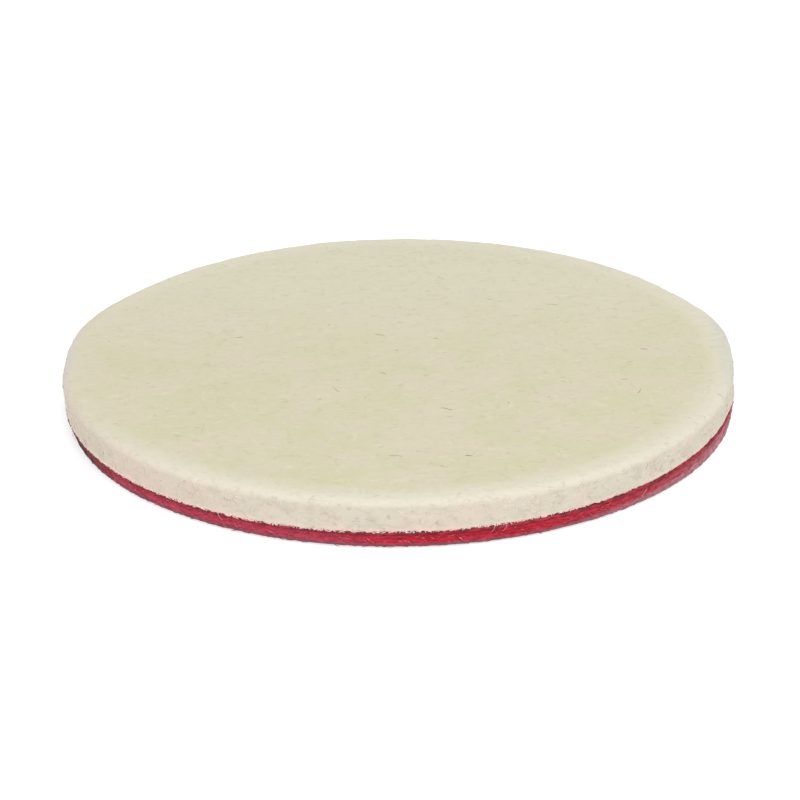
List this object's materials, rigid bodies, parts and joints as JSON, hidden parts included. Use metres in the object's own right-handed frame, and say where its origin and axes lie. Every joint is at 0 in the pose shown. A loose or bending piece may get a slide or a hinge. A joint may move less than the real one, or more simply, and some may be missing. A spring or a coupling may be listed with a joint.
{
  "type": "felt polishing disc",
  "caption": "Round pressed-felt polishing disc with a softened working edge, bonded to a thin loop-fabric backing that grips a hook-faced pad.",
  "frame": {"origin": "middle of the loop face, on the disc's axis, at the lowest point of the disc", "axes": "+Z along the disc's axis, out of the polishing face; -Z out of the loop face; the disc is round, so X and Y are equal"},
  "size_m": [0.125, 0.125, 0.009],
  "materials": {
    "wool_felt": "pressed undyed wool felt, matt, with a light nap",
    "glue": "dried contact adhesive stained by the red cloth",
    "ground_cloth": "crimson knitted nylon ground, bound with resin",
    "loop_yarn": "crimson nylon loops with a soft sheen"
  },
  "bodies": {
    "root": {"felt_disc": "wool_felt", "adhesive_film": "glue", "backing_cloth": "ground_cloth", "loop_pile": "loop_yarn"}
  },
  "joints": []
}
